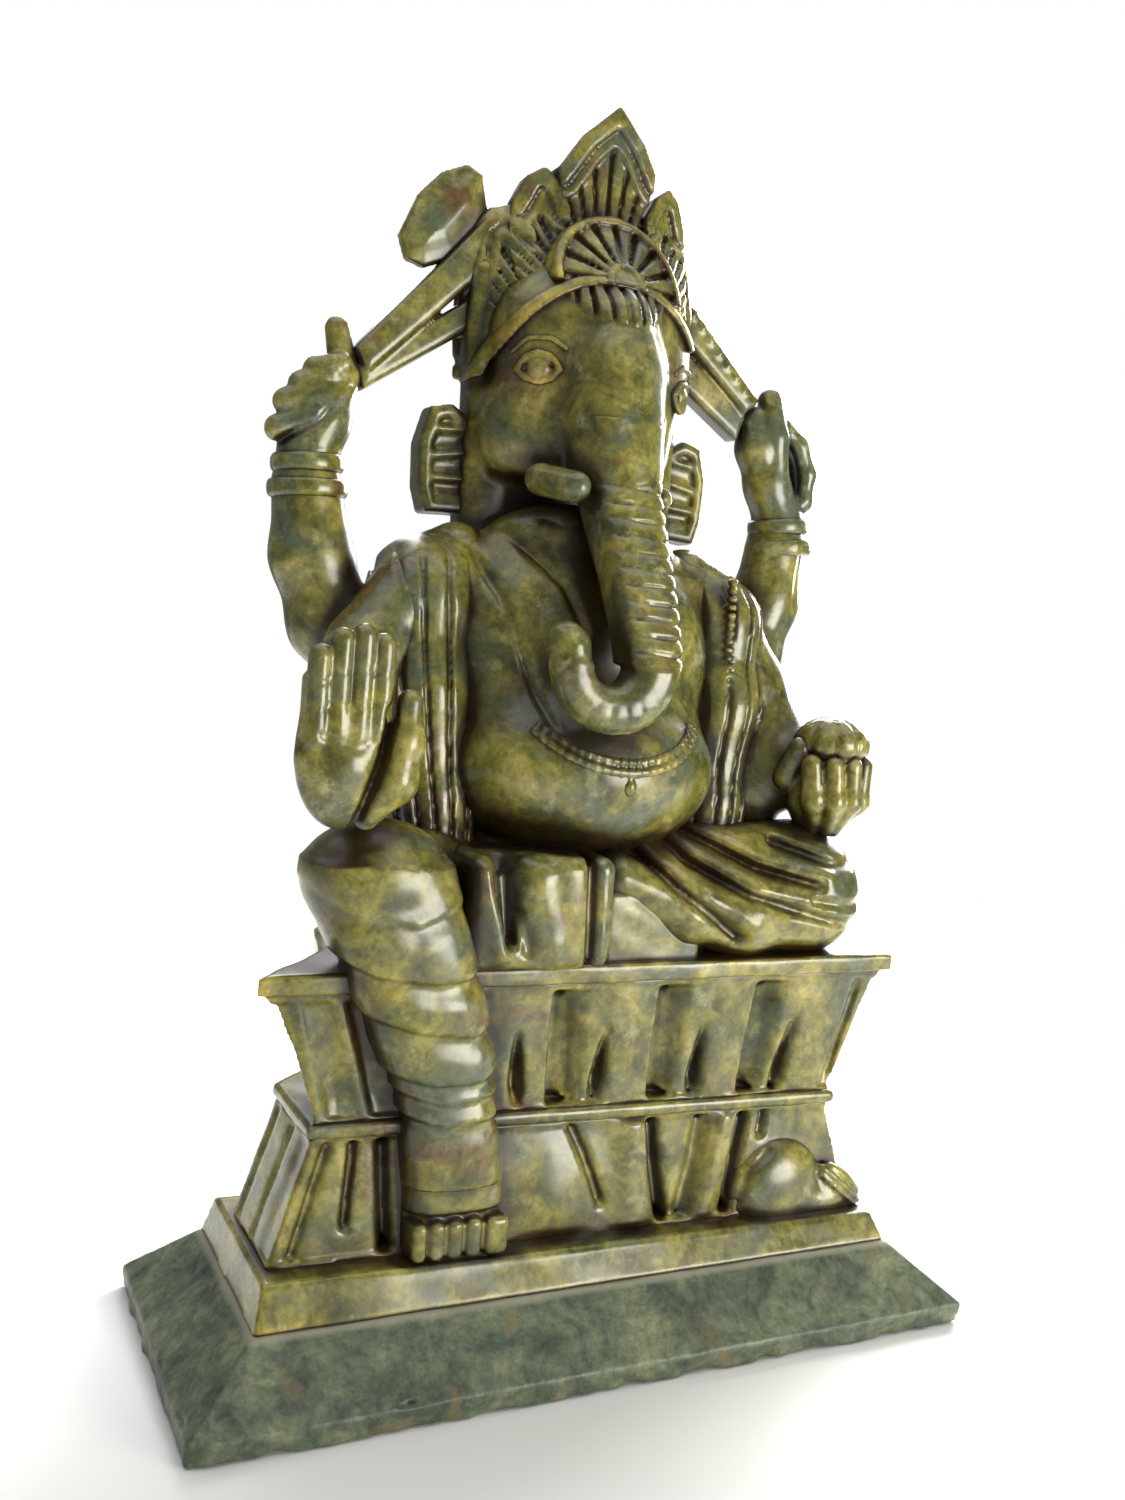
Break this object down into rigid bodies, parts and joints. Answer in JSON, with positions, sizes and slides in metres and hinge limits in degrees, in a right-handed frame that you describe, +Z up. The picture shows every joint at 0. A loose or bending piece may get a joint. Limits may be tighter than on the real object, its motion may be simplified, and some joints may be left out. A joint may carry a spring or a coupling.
{
  "type": "ganesha idol",
  "caption": "Seated four-armed elephant-headed idol in polished stone on a flared throne and a sloped stone base, carved for a household shrine.",
  "frame": {"origin": "centre of the base slab's flat underside", "axes": "+Z up, the figure faces -Y, +X is to the right of a viewer who faces it (the figure's own left)"},
  "size_m": [0.2, 0.0834, 0.3047],
  "materials": {
    "polished_soapstone": "hand-polished, glossy, mottled olive green with grey, ochre and rust patches",
    "dull_base_stone": "sawn and lightly rubbed, satin, speckled grey-green"
  },
  "bodies": {
    "root": {"base_slab": "dull_base_stone", "plinth": "polished_soapstone", "throne_lower_tier": "polished_soapstone", "throne_waist_band": "polished_soapstone", "throne_upper_tier": "polished_soapstone", "seat_slab": "polished_soapstone", "mouse": "polished_soapstone", "torso": "polished_soapstone", "right_shawl": "polished_soapstone", "left_shawl": "polished_soapstone", "bead_garland": "polished_soapstone", "hanging_leg": "polished_soapstone", "right_thigh": "polished_soapstone", "foot": "polished_soapstone", "folded_leg": "polished_soapstone", "lap_cloth": "polished_soapstone", "right_front_hand": "polished_soapstone", "right_front_arm": "polished_soapstone", "sweet_ball": "polished_soapstone", "left_front_hand": "polished_soapstone", "left_front_arm": "polished_soapstone", "right_rear_arm": "polished_soapstone", "right_rear_bracelet": "polished_soapstone", "left_rear_arm": "polished_soapstone", "left_rear_bracelet": "polished_soapstone", "right_rear_hand": "polished_soapstone", "left_rear_hand": "polished_soapstone", "head": "polished_soapstone", "trunk": "polished_soapstone", "right_tusk": "polished_soapstone", "left_tusk": "polished_soapstone", "right_ear": "polished_soapstone", "left_ear": "polished_soapstone", "right_eye": "polished_soapstone", "left_eye": "polished_soapstone", "headband": "polished_soapstone", "crown_core": "polished_soapstone", "crown_front_petal": "polished_soapstone", "crown_right_inner_petal": "polished_soapstone", "crown_left_inner_petal": "polished_soapstone", "crown_right_outer_petal": "polished_soapstone", "crown_left_outer_petal": "polished_soapstone", "crown_arch": "polished_soapstone", "axe_handle": "polished_soapstone", "axe_blade": "polished_soapstone", "goad_handle": "polished_soapstone"}
  },
  "joints": []
}
